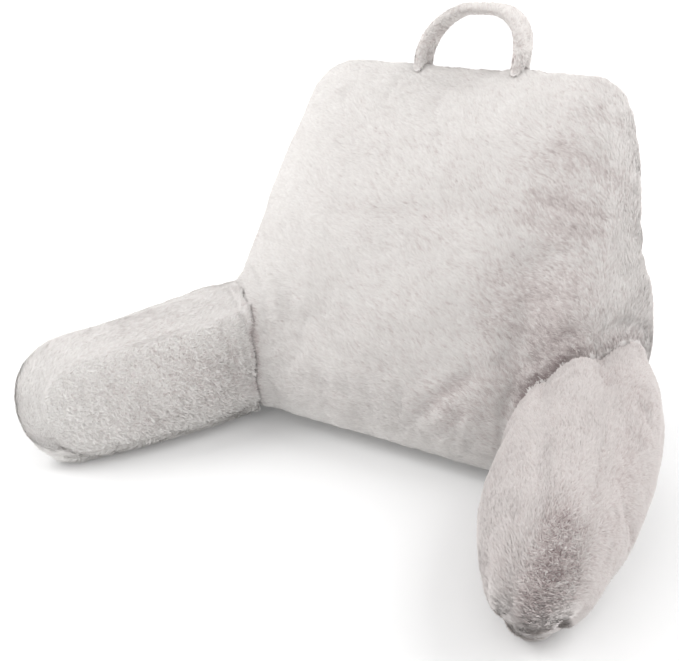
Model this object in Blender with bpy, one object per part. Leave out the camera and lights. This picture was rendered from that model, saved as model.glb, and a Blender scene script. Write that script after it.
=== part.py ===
"""A reading pillow: a stuffed backrest with two padded arms and a carrying loop on top.

Metres, +Z up. The pillow stands on z = 0 and faces -Y. The sizes below are in its own axes,
with x = 0 midway between the arms, and at the end it moves to stand centred on the origin.
Every stuffed cushion is boxed: two crowned panels, joined by a strip that runs round
their rim and bulges between two drawn-in seams. The surface is the top of the pile.
"""
import math

import bmesh
import bpy
from mathutils import Vector

# Sewn pieces lie this far from each other, because touching solids may not overlap.
SEAM_GAP = 0.0003

# The space taken out for the backrest goes straight down to the floor from this height, so
# that no sliver of an arm is left under the backrest's rounded foot.
UNDERCUT_HEIGHT = 0.022

# Backrest. A rim height z and a half width x lie in the panel's own upright plane. The sides
# flare out a little where they rest on the arms.
BACK_HEIGHT = 0.46
BACK_HALF_BASE = 0.240
BACK_HALF_TOP = 0.198
BACK_SIDE_BULGE = 0.032
BACK_SIDE_FLARE = 0.016
BACK_SIDE_FLARE_HEIGHT = 0.208
BACK_SIDE_FLARE_REACH = 0.042
BACK_REAR_NARROWING = 0.05
BACK_CORNER = 0.052
BACK_FOOT_CORNER = 0.018
BACK_SEAM_LIFT = 0.026
BACK_STRIP_BULGE = 0.013
BACK_TOP_FULLNESS = 0.0065
BACK_TOP_FULL_FROM = 0.015
BACK_TOP_FULL_UNTIL = 0.085
BACK_TOP_FULL_SLANT = 0.80
BACK_RIGHT_FULLNESS = 0.0045
BACK_RIGHT_FULL_HEIGHT = 0.20
BACK_RIGHT_FULL_REACH = 0.085
BACK_LEFT_SLIMNESS = 0.010
BACK_LEFT_SLIM_REACH = 0.045
BACK_RIGHT_FLARE = 0.020
BACK_RIGHT_FLARE_HEIGHT = 0.143
BACK_RIGHT_FLARE_REACH = 0.036
BACK_RIGHT_SLIMNESS = 0.024
BACK_RIGHT_SLIM_FROM = 0.12
BACK_RIGHT_SLIM_UNTIL = 0.24
BACK_RIGHT_SLIM_HEIGHT = 0.200
BACK_RIGHT_SLIM_REACH = 0.080
FRONT_SEAM_Y = -0.032
FRONT_LEAN = 0.385
FRONT_BOW = 0.014
FRONT_FOOT_TUCK = 0.016
FRONT_FOOT_HEIGHT = 0.070
FRONT_CROWN = 0.050
LEFT_FOOT_SPREAD = 0.033
LEFT_FOOT_HEIGHT = 0.142
LEFT_FOOT_REACH = 0.050
LEFT_FOOT_FROM = 0.14
LEFT_FOOT_UNTIL = 0.22
RIGHT_FOOT_SPREAD = 0.022
RIGHT_FOOT_HEIGHT = 0.200
RIGHT_FOOT_REACH_DOWN = 0.055
RIGHT_FOOT_REACH_UP = 0.095
RIGHT_FOOT_FROM = 0.182
RIGHT_FOOT_UNTIL = 0.236
REAR_SEAM_Y = 0.154
REAR_LEAN = 0.062
REAR_CROWN = 0.0134

# Arms. Each lies along a line that starts beside the backrest and runs forward. The places
# where a seam's distance from that line stops or starts to change are shares of the length.
ARM_START = (0.178, 0.147)
ARM_LENGTH = {"arm_left": 0.472, "arm_right": 0.4848}
ARM_REAR_CORNER = 0.034
ARM_HEIGHT_FRONT = 0.168
ARM_HEIGHT_REAR = {"arm_left": 0.196, "arm_right": 0.208}
ARM_NOSE = 0.078
ARM_NOSE_SQUARENESS = 0.86
ARM_NOSE_LIFT = {"arm_left": 0.0, "arm_right": 0.010}
ARM_INNER_SEAM = 0.044
ARM_INNER_SEAM_AT_NOSE = {"arm_left": 0.028, "arm_right": 0.016}
ARM_OUTER_SEAM = 0.033
ARM_OUTER_SEAM_AT_ROOT = -0.005
ARM_OUTER_SEAM_WIDENS_UNTIL = 0.6
ARM_INNER_SEAM_NARROWS_FROM = {"arm_left": 0.6, "arm_right": 0.35}
ARM_INNER_CROWN = 0.031
ARM_INNER_NARROWING = {"arm_left": 0.016, "arm_right": 0.010}
ARM_INNER_NARROWS_FROM = 0.6
ARM_OUTER_CROWN = 0.040
ARM_ROOT_FULLNESS_INNER = 0.10
ARM_ROOT_FULLNESS_OUTER = {"arm_left": 1.8, "arm_right": 1.65}
ARM_ROOT_LIFT = {"arm_left": 0.05, "arm_right": 0.35}
ARM_ROOT_DROP = {"arm_left": 0.0, "arm_right": 0.036}
ARM_ROOT_DROP_FROM = 0.10
ARM_ROOT_DROP_UNTIL = 0.29
ARM_ROOT_DROP_WIDTH = 0.050
ARM_JOIN_TUCK = 0.22
ARM_JOIN_TUCK_REACH = 0.050
ARM_STRIP_BULGE = 0.012
ARM_SEAM_LIFT = 0.022
ARM_SPLAY = {"arm_left": math.radians(24), "arm_right": math.radians(21.5)}
ARM_TURN_IN = math.radians(8)
ARM_ROLL = {"arm_left": math.radians(0), "arm_right": math.radians(10)}

# Carrying loop: a flat strap, bent into an arch that leans back with the front panel.
LOOP_MIDDLE_X = -0.003
LOOP_HALF_SPAN = 0.0665
LOOP_RISE = 0.067
LOOP_SKEW = 0.005
LOOP_SQUARENESS = 0.90
LOOP_WIDTH = 0.044
LOOP_THICKNESS = 0.0145
LOOP_EDGE_SQUARENESS = 0.80
LOOP_FOOT_FLARE = 0.16
LOOP_FLARE_HEIGHT = 0.045
LOOP_FOOT_Y = 0.1612
LOOP_LEAN = math.radians(4)
LOOP_SUNK = 0.038
LOOP_STEPS = 32
LOOP_SIDES = 16

# Each seam draws the cover in by this much. A strip swells between its two seams with this
# power of a parabola, below 1 for a fuller strip. A panel's crown falls off to its edges.
SEAM_DRAW = 0.004
STRIP_SWELL = 0.8
CROWN_SQUARENESS = 4.0
CROWN_ROUNDNESS = 0.55
CROWN_DOME = 0.28

# The stuffing settles: whatever lies lower than the soft height sinks, and the lowest goes flat.
SETTLE_SOFT_HEIGHT = 0.055
SETTLE_SINK = 0.020

# The stuffing gathers in soft lumps, about this far apart and this much of a panel's crown.
LUMP_PITCH = 0.21
LUMPINESS = 0.06

# How finely the cushions are divided.
BACK_RIM_POINTS = 72
ARM_RIM_POINTS = 56
STRIP_STEPS = 5
PANEL_RINGS = (0.98, 0.93, 0.85, 0.72, 0.55, 0.36, 0.18)


def smooth_step(share):
    """Go from 0 to 1 with no corner at either end."""
    share = min(max(share, 0.0), 1.0)
    return share * share * (3 - 2 * share)


def squared(share, squareness):
    """A sine or cosine, raised so that the ellipse it draws is squarer below 1."""
    return math.copysign(abs(share) ** squareness, share)


def arc(centre, across, up, start, stop, steps, squareness=1.0):
    """Points on an ellipse, from one angle in degrees to another, squarer below 1."""
    points = []
    for i in range(steps + 1):
        angle = math.radians(start + (stop - start) * i / steps)
        points.append((centre[0] + across * squared(math.cos(angle), squareness),
                       centre[1] + up * squared(math.sin(angle), squareness)))
    return points


def even_spacing(points, count):
    """Put count points at even distances round a closed outline."""
    closed = points + points[:1]
    lengths = [math.dist(a, b) for a, b in zip(closed, closed[1:])]
    step = sum(lengths) / count
    result, travelled, edge = [], 0.0, 0
    for i in range(count):
        target = i * step
        while travelled + lengths[edge] < target:
            travelled += lengths[edge]
            edge += 1
        share = (target - travelled) / lengths[edge]
        a, b = closed[edge], closed[edge + 1]
        result.append((a[0] + (b[0] - a[0]) * share, a[1] + (b[1] - a[1]) * share))
    return result


def outward(rim, i):
    """The outward direction of a rim that runs anticlockwise, at its point i."""
    before, after = rim[i - 1], rim[(i + 1) % len(rim)]
    along = Vector((after[0] - before[0], after[1] - before[1])).normalized()
    return Vector((along.y, -along.x))


def lumpy(p, q):
    """How full a panel is at a point, near 1: the stuffing has gathered unevenly."""
    wave = 2 * math.pi / LUMP_PITCH
    return 1 + LUMPINESS * math.sin(wave * p + 1.0) * math.sin(wave * q + 2.2)


def settled(z):
    """The height that a point comes down to when the cushion lies on the floor."""
    return max(z - SETTLE_SINK * (1 - smooth_step(z / SETTLE_SOFT_HEIGHT)), 0.0)


def boxed_cushion(name, rim, middle, seams, crowns, bulge, place, grow=0.0):
    """Make one stuffed cushion as a closed mesh of rings round its thickness.

    rim is the seams' outline in the cushion's own plane and middle a point inside it.
    seams gives each panel's seam across the thickness, crowns how far each panel stands
    out from its seam, bulge how far the strip stands out, and place puts points in space.
    grow pushes the whole surface outwards and its foot down to the floor, for a shape that
    is cut out of a neighbour.
    """
    mesh = bmesh.new()
    rings = []
    reach = [max(abs(point[axis] - middle[axis]) for point in rim) for axis in (0, 1)]

    def panel(side):
        seam, crown = seams[side], crowns[side]
        for share in PANEL_RINGS:
            edge = (1 - share ** CROWN_SQUARENESS) ** CROWN_ROUNDNESS
            ring = []
            for a, b in rim:
                p = middle[0] + (a - middle[0]) * share
                q = middle[1] + (b - middle[1]) * share
                off_middle = ((p - middle[0]) / reach[0]) ** 2 + ((q - middle[1]) / reach[1]) ** 2
                rise = crown * edge * (1 - CROWN_DOME * off_middle) * lumpy(p, q)
                ring.append(place(p, seam(p, q) + rise, q))
            yield ring

    rings += reversed(list(panel(0)))
    for step in range(STRIP_STEPS + 1):
        share = step / STRIP_STEPS
        ring = []
        for i, (a, b) in enumerate(rim):
            swell = (4 * share * (1 - share)) ** STRIP_SWELL
            away = outward(rim, i) * (bulge * swell - SEAM_DRAW * (1 - swell))
            across = seams[0](a, b) * (1 - share) + seams[1](a, b) * share
            ring.append(place(a + away.x, across, b + away.y))
        rings.append(ring)
    rings += panel(1)

    loops = [[mesh.verts.new(point) for point in ring] for ring in rings]
    for ring, following in zip(loops, loops[1:]):
        for i in range(len(ring)):
            j = (i + 1) % len(ring)
            mesh.faces.new((ring[i], ring[j], following[j], following[i]))
    for side, ring in ((0, loops[0]), (1, loops[-1])):
        p, q = middle
        peak = seams[side](p, q) + crowns[side] * lumpy(p, q)
        pole = mesh.verts.new(place(p, peak, q))
        for i in range(len(ring)):
            mesh.faces.new((ring[i], ring[(i + 1) % len(ring)], pole))
    bmesh.ops.recalc_face_normals(mesh, faces=mesh.faces)
    bmesh.ops.triangulate(mesh, faces=mesh.faces, quad_method="SHORT_EDGE")
    if grow:
        mesh.normal_update()
        for vert in mesh.verts:
            vert.co += vert.normal * grow
            if vert.co.z < UNDERCUT_HEIGHT:
                vert.co.z = -grow
    return as_object(name, mesh)


def as_object(name, mesh):
    """Turn a bmesh into a smooth-shaded object in the scene."""
    data = bpy.data.meshes.new(name)
    mesh.to_mesh(data)
    mesh.free()
    data.shade_smooth()
    thing = bpy.data.objects.new(name, data)
    bpy.context.collection.objects.link(thing)
    return thing


def plush(name, colour):
    """A light, rough, furry cloth."""
    material = bpy.data.materials.new(name)
    material.use_nodes = True
    shader = material.node_tree.nodes["Principled BSDF"]
    shader.inputs["Base Color"].default_value = (*colour, 1)
    shader.inputs["Roughness"].default_value = 0.95
    shader.inputs["Metallic"].default_value = 0.0
    return material


def back_half_width(z):
    """Half the backrest's width at a height, between its two bottom and top corners."""
    share = (z - BACK_SEAM_LIFT) / (BACK_HEIGHT - BACK_SEAM_LIFT)
    straight = BACK_HALF_BASE + (BACK_HALF_TOP - BACK_HALF_BASE) * share
    over_arm = math.exp(-((z - BACK_SIDE_FLARE_HEIGHT) / BACK_SIDE_FLARE_REACH) ** 2)
    return straight + BACK_SIDE_BULGE * 4 * share * (1 - share) + BACK_SIDE_FLARE * over_arm


def front_seam(x, z):
    """How far back the front panel's seam lies at a height.

    It rolls under at the foot, and spreads forward at both sides, where it presses on the arms.
    """
    share = z / BACK_HEIGHT
    tuck = FRONT_FOOT_TUCK * (1 - smooth_step(z / FRONT_FOOT_HEIGHT))
    left = smooth_step((-x - LEFT_FOOT_FROM) / (LEFT_FOOT_UNTIL - LEFT_FOOT_FROM))
    spread = LEFT_FOOT_SPREAD * left * math.exp(-((z - LEFT_FOOT_HEIGHT) / LEFT_FOOT_REACH) ** 2)
    right = smooth_step((x - RIGHT_FOOT_FROM) / (RIGHT_FOOT_UNTIL - RIGHT_FOOT_FROM))
    above = z - RIGHT_FOOT_HEIGHT
    reach = RIGHT_FOOT_REACH_UP if above > 0 else RIGHT_FOOT_REACH_DOWN
    spread += RIGHT_FOOT_SPREAD * right * math.exp(-(above / reach) ** 2)
    return FRONT_SEAM_Y + FRONT_LEAN * z - FRONT_BOW * 4 * share * (1 - share) + tuck - spread


def rear_seam(x, z):
    """How far back the rear panel's seam lies at a height."""
    return REAR_SEAM_Y + REAR_LEAN * z


def backrest(name, grow=0.0):
    """The big cushion: a rounded, slightly tapered panel that leans back over a wide base."""
    top = BACK_HEIGHT - BACK_STRIP_BULGE
    foot = BACK_SEAM_LIFT + BACK_FOOT_CORNER
    shoulder = top - BACK_CORNER
    right = arc((back_half_width(foot) - BACK_FOOT_CORNER, foot),
                BACK_FOOT_CORNER, BACK_FOOT_CORNER, -90, 0, 4)
    for i in range(1, 10):
        z = foot + (shoulder - foot) * i / 10
        right.append((back_half_width(z), z))
    right += arc((back_half_width(shoulder) - BACK_CORNER, shoulder),
                 BACK_CORNER, BACK_CORNER, 0, 90, 6)
    rim = even_spacing(right + [(-x, z) for x, z in reversed(right)], BACK_RIM_POINTS)

    def place(x, y, z):
        depth = (y - front_seam(x, z)) / (rear_seam(x, z) - front_seam(x, z))
        narrow = 1 - BACK_REAR_NARROWING * smooth_step(depth)
        right_end = smooth_step((x - BACK_TOP_FULL_FROM) / (BACK_TOP_FULL_UNTIL - BACK_TOP_FULL_FROM))
        raised = BACK_TOP_FULLNESS * right_end * smooth_step(2 * z / BACK_HEIGHT - 1)
        off_middle = (z - BACK_RIGHT_FULL_HEIGHT) / BACK_RIGHT_FULL_REACH
        spread = BACK_RIGHT_FULLNESS * right_end * math.exp(-off_middle ** 2)
        spread -= raised * BACK_TOP_FULL_SLANT
        off_flare = (z - BACK_RIGHT_FLARE_HEIGHT) / BACK_RIGHT_FLARE_REACH
        spread += BACK_RIGHT_FLARE * right_end * smooth_step(depth) * math.exp(-off_flare ** 2)
        slim = smooth_step((x - BACK_RIGHT_SLIM_FROM) / (BACK_RIGHT_SLIM_UNTIL - BACK_RIGHT_SLIM_FROM))
        off_slim = (z - BACK_RIGHT_SLIM_HEIGHT) / BACK_RIGHT_SLIM_REACH
        spread -= BACK_RIGHT_SLIMNESS * slim * (1 - smooth_step(depth)) * math.exp(-off_slim ** 2)
        if x < 0:
            off_flare = (z - BACK_SIDE_FLARE_HEIGHT) / BACK_LEFT_SLIM_REACH
            left_end = smooth_step(-x / BACK_HALF_TOP)
            spread += BACK_LEFT_SLIMNESS * left_end * math.exp(-off_flare ** 2)
        return Vector((x * narrow + spread, y, settled(z) + raised))

    return boxed_cushion(name, rim, (0, BACK_HEIGHT / 2), (front_seam, rear_seam),
                         (-FRONT_CROWN, REAR_CROWN), BACK_STRIP_BULGE, place, grow)


def arm(name, side):
    """One bolster, side +1 or -1 along X, with a round front end."""
    length = ARM_LENGTH[name]
    straight = length - ARM_NOSE
    rear = ARM_HEIGHT_REAR[name]

    def top(u):
        return rear + (ARM_HEIGHT_FRONT - rear) * smooth_step(u / straight)

    low = ARM_SEAM_LIFT
    nose_middle = (low + top(straight) - ARM_STRIP_BULGE) / 2
    corner = ARM_REAR_CORNER
    crest = top(0) - ARM_STRIP_BULGE
    run = (straight - corner) / 8
    outline = arc((corner, low + corner), corner, corner, 180, 270, 3)
    outline += [(corner + run * i, low) for i in range(1, 8)]
    outline += arc((straight, nose_middle), ARM_NOSE, nose_middle - low, -90, 90, 12,
                   ARM_NOSE_SQUARENESS)
    for i in range(7, 0, -1):
        u = corner + run * i
        outline.append((u, top(u) - ARM_STRIP_BULGE))
    outline += arc((corner, crest - corner), corner, corner, 90, 180, 3)
    rim = even_spacing(outline, ARM_RIM_POINTS)

    def inner(u, z):
        start = ARM_INNER_SEAM_NARROWS_FROM[name]
        narrowing = smooth_step((u / length - start) / (1 - start))
        return -ARM_INNER_SEAM + (ARM_INNER_SEAM - ARM_INNER_SEAM_AT_NOSE[name]) * narrowing

    def inner_fullness(u):
        start = ARM_INNER_NARROWS_FROM
        narrowing = smooth_step((u / length - start) / (1 - start))
        reach = ARM_INNER_SEAM + ARM_INNER_CROWN - ARM_INNER_NARROWING[name] * narrowing
        return (reach + inner(u, 0)) / ARM_INNER_CROWN

    def outer(u, z):
        widening = smooth_step(u / (ARM_OUTER_SEAM_WIDENS_UNTIL * length))
        return ARM_OUTER_SEAM_AT_ROOT + (ARM_OUTER_SEAM - ARM_OUTER_SEAM_AT_ROOT) * widening

    def place(u, v, z):
        turn = ARM_TURN_IN * u / length
        heading = ARM_SPLAY[name] - turn
        mean = ARM_SPLAY[name] - turn / 2
        root = 1 - smooth_step(u / straight)
        if v > outer(u, z):
            v += (v - outer(u, z)) * ARM_ROOT_FULLNESS_OUTER[name] * root
            lift = ARM_ROOT_LIFT[name] * root * smooth_step(z / rear)
            z += (v - outer(u, z)) * lift
        if v < inner(u, z):
            v = inner(u, z) + (v - inner(u, z)) * inner_fullness(u)
        if v < 0:
            near = 1 - smooth_step((u - ARM_ROOT_DROP_FROM) / (ARM_ROOT_DROP_UNTIL - ARM_ROOT_DROP_FROM))
            drop = ARM_ROOT_DROP[name] * near * smooth_step(-v / ARM_ROOT_DROP_WIDTH)
            z -= drop * smooth_step(z / rear)
            join = (ARM_START[1] - front_seam(0, z)) / math.cos(heading)
            tuck = math.exp(-((u - join) / ARM_JOIN_TUCK_REACH) ** 2)
            v *= 1 + ARM_ROOT_FULLNESS_INNER * root - ARM_JOIN_TUCK * tuck
        lifted = ARM_NOSE_LIFT[name] * smooth_step((u - straight) / ARM_NOSE)
        z += lifted * (1 - smooth_step(z / ARM_HEIGHT_FRONT))
        roll = math.tan(ARM_ROLL[name]) * u / length
        lateral = v + (z - ARM_HEIGHT_FRONT / 2) * roll
        x = ARM_START[0] + u * math.sin(mean) + lateral * math.cos(heading)
        y = ARM_START[1] - u * math.cos(mean) + lateral * math.sin(heading)
        return Vector((side * x, y, settled(z)))

    middle = (0.55 * length, ARM_HEIGHT_FRONT / 2)
    return boxed_cushion(name, rim, middle, (inner, outer),
                         (-ARM_INNER_CROWN, ARM_OUTER_CROWN), ARM_STRIP_BULGE, place)


def carrying_loop(name):
    """A flat strap along an arch, wider at its two feet, which are sunk in the backrest."""
    lean = Vector((0, math.sin(LOOP_LEAN), math.cos(LOOP_LEAN)))
    across = Vector((1, 0, 0))
    width = lean.cross(across)
    foot = Vector((LOOP_MIDDLE_X, LOOP_FOOT_Y, BACK_HEIGHT))
    path = []
    for i in range(LOOP_STEPS + 1):
        angle = math.pi * i / LOOP_STEPS
        high = squared(math.sin(angle), LOOP_SQUARENESS)
        reach = LOOP_HALF_SPAN * squared(math.cos(angle), LOOP_SQUARENESS) + LOOP_SKEW * high
        path.append(foot + across * reach + lean * LOOP_RISE * high)
    path.insert(0, path[0] - lean * LOOP_SUNK)
    path.append(path[-1] - lean * LOOP_SUNK)

    mesh = bmesh.new()
    rings = []
    for i, point in enumerate(path):
        along = (path[min(i + 1, len(path) - 1)] - path[max(i - 1, 0)]).normalized()
        out = along.cross(width).normalized()
        flare = 1 + LOOP_FOOT_FLARE * (1 - smooth_step((point.z - BACK_HEIGHT) / LOOP_FLARE_HEIGHT))
        ring = []
        for k in range(LOOP_SIDES):
            angle = 2 * math.pi * k / LOOP_SIDES
            half_width = squared(math.cos(angle), LOOP_EDGE_SQUARENESS) * LOOP_WIDTH / 2
            half_thickness = squared(math.sin(angle), LOOP_EDGE_SQUARENESS) * LOOP_THICKNESS / 2
            offset = width * half_width + out * half_thickness
            ring.append(mesh.verts.new(point + offset * flare))
        rings.append(ring)
    for ring, following in zip(rings, rings[1:]):
        for k in range(LOOP_SIDES):
            j = (k + 1) % LOOP_SIDES
            mesh.faces.new((ring[k], ring[j], following[j], following[k]))
    mesh.faces.new(rings[0])
    mesh.faces.new(rings[-1])
    bmesh.ops.recalc_face_normals(mesh, faces=mesh.faces)
    return as_object(name, mesh)


def cut_by(thing, cutter):
    """Take the cutter's space out of a piece with an exact Boolean."""
    cut = thing.modifiers.new("sewn on", "BOOLEAN")
    cut.operation = "DIFFERENCE"
    cut.solver = "EXACT"
    cut.object = cutter


def centre_in_plan(pieces, stand):
    """Move the empty that carries the pieces until their box is centred on the origin."""
    graph = bpy.context.evaluated_depsgraph_get()
    points = [vert.co for piece in pieces for vert in piece.evaluated_get(graph).data.vertices]
    for axis in (0, 1):
        along = [point[axis] for point in points]
        stand.location[axis] = -round((min(along) + max(along)) / 2, 4)


def main():
    for thing in list(bpy.data.objects):
        bpy.data.objects.remove(thing)

    warm_grey = (0.62, 0.59, 0.57)
    body = backrest("backrest")
    body.data.materials.append(plush("backrest plush", warm_grey))
    pieces = [body]

    beside = backrest("room for backrest", SEAM_GAP)
    beside.hide_render = True
    beside.display_type = "WIRE"

    for name, side in (("arm_right", 1), ("arm_left", -1)):
        piece = arm(name, side)
        piece.data.materials.append(plush(name.replace("_", " ") + " plush", warm_grey))
        cut_by(piece, beside)
        pieces.append(piece)

    loop = carrying_loop("handle")
    loop.data.materials.append(plush("handle plush", warm_grey))
    cut_by(loop, beside)
    pieces.append(loop)

    stand = bpy.data.objects.new("stand", None)
    bpy.context.collection.objects.link(stand)
    for piece in pieces + [beside]:
        piece.parent = stand
    centre_in_plan(pieces, stand)


main()
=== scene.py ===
"""The looks of a reading pillow: stuffed skins with their seams and folds, and a short grey pile.

Metres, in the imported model's frame: +Z up, and the pillow faces -Y. Each skin is grown from
its cushion's solid, swollen as cloth over stuffing, then sewn, gathered and creased. The
pile is made of short pointed tufts that lie along a combed field and stand on the skins.
"""
import math

import bmesh
import bpy
import numpy as np
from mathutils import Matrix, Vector, noise
from mathutils.bvhtree import BVHTree
from mathutils.kdtree import KDTree


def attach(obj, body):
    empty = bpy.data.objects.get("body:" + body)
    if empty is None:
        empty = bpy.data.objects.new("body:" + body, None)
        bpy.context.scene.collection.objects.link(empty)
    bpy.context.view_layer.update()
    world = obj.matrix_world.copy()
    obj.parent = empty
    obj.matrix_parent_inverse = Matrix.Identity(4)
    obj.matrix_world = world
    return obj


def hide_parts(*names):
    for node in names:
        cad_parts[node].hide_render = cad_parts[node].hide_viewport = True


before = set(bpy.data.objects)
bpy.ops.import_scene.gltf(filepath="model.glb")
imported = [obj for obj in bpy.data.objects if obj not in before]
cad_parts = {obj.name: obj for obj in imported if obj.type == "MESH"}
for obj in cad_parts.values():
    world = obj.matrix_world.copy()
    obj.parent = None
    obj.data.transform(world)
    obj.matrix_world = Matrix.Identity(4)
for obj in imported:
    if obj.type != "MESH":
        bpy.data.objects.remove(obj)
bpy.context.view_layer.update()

# The skin lies this far inside the solid, whose surface is the top of the pile, and nearly
# at the surface where two cushions press on each other or a cushion rests on the floor.
PILE_HEIGHT = 0.0026
STRAP_PILE_HEIGHT = 0.0010
CONTACT_GAP = 0.0008
CONTACT_REACH = 0.020

# How far off a neighbour is still looked for, and the distance given where there is none.
NEIGHBOUR_REACH = 0.06
FAR_OFF = 1.0

# A fade is two numbers: where it starts, and how much further on it is complete.
FLOOR_CONTACT_FADE = (0.0, 0.010)
FACING_FLOOR_FADE = (0.2, 0.5)

# Stuffing: how finely a skin is divided and evened out, and how it swells from a slightly
# smaller start while the cloth near its seams is held.
SKIN_VOXEL = 0.0060
EVENING = {"backrest": 10, "arm_left": 3, "arm_right": 3}
STRAP_DIVISIONS = 2
CUSHION_DIVISIONS = 1
START_SHRINK = 0.0022
STUFFING_PRESSURE = 4.0
STUFFING_FRAMES = 20
SWELL_CAP = 0.006
SPARE_CLOTH = -0.015
CLOTH_STIFFNESS = 0.4
LEAST_HOLD = 0.02
SEAM_HOLD_FADE = (0.006, 0.020)

# Seams: the sharpest dent that is not a seam, and how a seam draws in the skin, parts the pile,
# darkens it with painted shade and a painted highlight beside it, and gathers the cloth. A negative
# depth fills the skin out. Close to the floor the stuffing fills every seam, and lowest of all a seam
# has no effect on the pile.
SEAM_ANGLE = math.radians(16)
SEAM_STEP = 0.002
SEAM_DEPTH = {"backrest": -0.0018, "arm_left": 0.0012, "arm_right": 0.0012}
SEAM_WIDTH = {"backrest": 0.0085, "arm_left": 0.0060, "arm_right": 0.0060}
SEAM_PARTING = {"backrest": 0.15, "arm_left": 0.9, "arm_right": 0.9}
SEAM_SHADE = {"backrest": 0.0, "arm_left": 0.14, "arm_right": 0.14}
SEAM_SHADE_WIDTH = 0.0032
SEAM_HIGHLIGHT_OFFSET = 0.0065
SEAM_HIGHLIGHT_WIDTH = 0.003
SEAM_PARTING_REACH = 0.007
SEAM_FILL = 0.0030
SEAM_FILL_WIDTH = 0.014
SEAM_FILL_FADE = (0.014, 0.060)
GATHER_HEIGHT = 0.0009
GATHER_REACH = 0.022
LOW_SEAM_HEIGHT = 0.020

# How free the cloth is to gather and crease near another cushion and near the floor.
NEIGHBOUR_FREEDOM_FADE = (0.0, 0.010)
FLOOR_FREEDOM_FADE = (0.0, 0.012)
FLOOR_FREEDOM = 0.1

# Uneven places, as layers of noise: the strength, the bumps to a metre and the shift of each.
GATHERS = ((1.0, 55, 3.0), (0.5, 110, 8.0))
GATHER_PATCHES = ((1.0, 9, 5.0),)
LUMPS = ((0.0016, 17, 1.0),)
COMB_TURNS = ((0.6, 14, 4.0), (0.4, 50, 6.0))
LENGTH_CHANGES = ((0.25, 35, 2.0),)
TONE_CHANGES = ((0.05, 14, 7.0), (0.05, 55, 9.0))

# The carrying loop: its middle, its feet and half its span, how square each half is, and how
# much narrower the strap gets at its feet.
LOOP_MIDDLE_X = 0.0025
LOOP_FOOT_Y = 0.2295
LOOP_FOOT_Z = 0.4600
LOOP_REACH = 0.0665
LOOP_LEFT_POWER = 1.75
LOOP_RIGHT_POWER = 3.0
LOOP_FOOT_NARROWING = 0.33
LOOP_FOOT_FADE = (0.0, 0.040)
LOOP_HALVES_FADE = (-0.35, 0.7)
LOOP_LEAN = 0.07
LOOP_SEATING = 0.0012
LOOP_SEATING_HEIGHT = 0.012
LOOP_SEAT_DEPTH = 0.05

# Soft creases: points along each, its depth and its half width. A negative depth is a swelling.
CREASES = {
    "backrest": (
        (((0.149, 0.115, 0.335), (0.187, 0.124, 0.331), (0.224, 0.133, 0.327)), 0.0017, 0.010),
        (((0.145, 0.103, 0.314), (0.186, 0.112, 0.309), (0.227, 0.122, 0.305)), 0.0014, 0.009),
        (((0.163, 0.150, 0.392), (0.197, 0.157, 0.376), (0.231, 0.164, 0.357)), 0.0013, 0.010),
        (((0.187, 0.178, 0.426), (0.205, 0.187, 0.422), (0.222, 0.197, 0.418)), 0.0014, 0.008),
        (((0.180, 0.040, 0.130), (0.195, 0.047, 0.150), (0.208, 0.049, 0.166),
          (0.218, 0.050, 0.187)), 0.0032, 0.007),
        (((0.189, 0.051, 0.167), (0.201, 0.053, 0.189), (0.216, 0.056, 0.209),
          (0.244, 0.072, 0.215)), 0.0024, 0.008),
        (((0.150, 0.045, 0.160), (0.172, 0.050, 0.190), (0.200, 0.058, 0.220)), 0.0016, 0.009),
        (((0.250, 0.080, 0.200), (0.249, 0.077, 0.189), (0.252, 0.070, 0.184)), 0.0040, 0.004),
        (((0.221, 0.199, 0.422), (0.230, 0.182, 0.381), (0.238, 0.155, 0.334),
          (0.243, 0.124, 0.282), (0.247, 0.096, 0.236), (0.249, 0.080, 0.205)), 0.0017, 0.004),
        (((-0.096, 0.088, 0.292), (0.012, 0.097, 0.307), (0.115, 0.101, 0.317)), 0.0012, 0.012),
        (((0.019, 0.038, 0.033), (0.055, 0.028, 0.070), (0.086, 0.027, 0.108),
          (0.120, 0.035, 0.139)), 0.0024, 0.010),
        (((0.071, 0.033, 0.043), (0.095, 0.027, 0.072), (0.116, 0.026, 0.098)), 0.0020, 0.009),
        (((-0.160, 0.050, 0.060), (-0.110, 0.030, 0.085), (-0.060, 0.027, 0.080)), 0.0016, 0.012),
        (((-0.066, 0.204, 0.458), (-0.074, 0.198, 0.447), (-0.079, 0.190, 0.437)), 0.0016, 0.007),
    ),
    "arm_left": (
        (((-0.238, 0.041, 0.183), (-0.216, 0.026, 0.177), (-0.196, 0.014, 0.165),
          (-0.186, 0.012, 0.148), (-0.182, 0.017, 0.129)), 0.0052, 0.0055),
        (((-0.184, 0.006, 0.123), (-0.183, 0.012, 0.100), (-0.183, 0.018, 0.077),
          (-0.184, 0.026, 0.053)), 0.0042, 0.005),
        (((-0.200, -0.022, 0.140), (-0.191, -0.008, 0.100), (-0.192, 0.000, 0.050)), 0.0026, 0.008),
    ),
    "arm_right": (
        (((0.222, 0.023, 0.180), (0.215, 0.000, 0.172), (0.211, -0.027, 0.161)), 0.0030, 0.007),
        (((0.346, -0.033, 0.155), (0.349, -0.063, 0.152), (0.354, -0.094, 0.151)), 0.0024, 0.006),
        (((0.357, -0.105, 0.149), (0.372, -0.127, 0.134), (0.370, -0.100, 0.084)), 0.0024, 0.008),
        (((0.292, -0.242, 0.074), (0.296, -0.233, 0.048), (0.302, -0.221, 0.028)), -0.0048, 0.015),
        (((0.345, -0.226, 0.044), (0.358, -0.226, 0.066)), -0.0045, 0.013),
    ),
}

# Painted shade in a crease: how much darker the pile looks, for each metre of its depth (a
# swelling is painted lighter), and how much narrower than the crease that shade is. Each crease has low
# banks on both sides.
CREASE_SHADE = 45.0
CREASE_SHADE_NARROWING = 1.3
CREASE_BANK = 0.25
CREASE_BANK_REACH = 2.2
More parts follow.
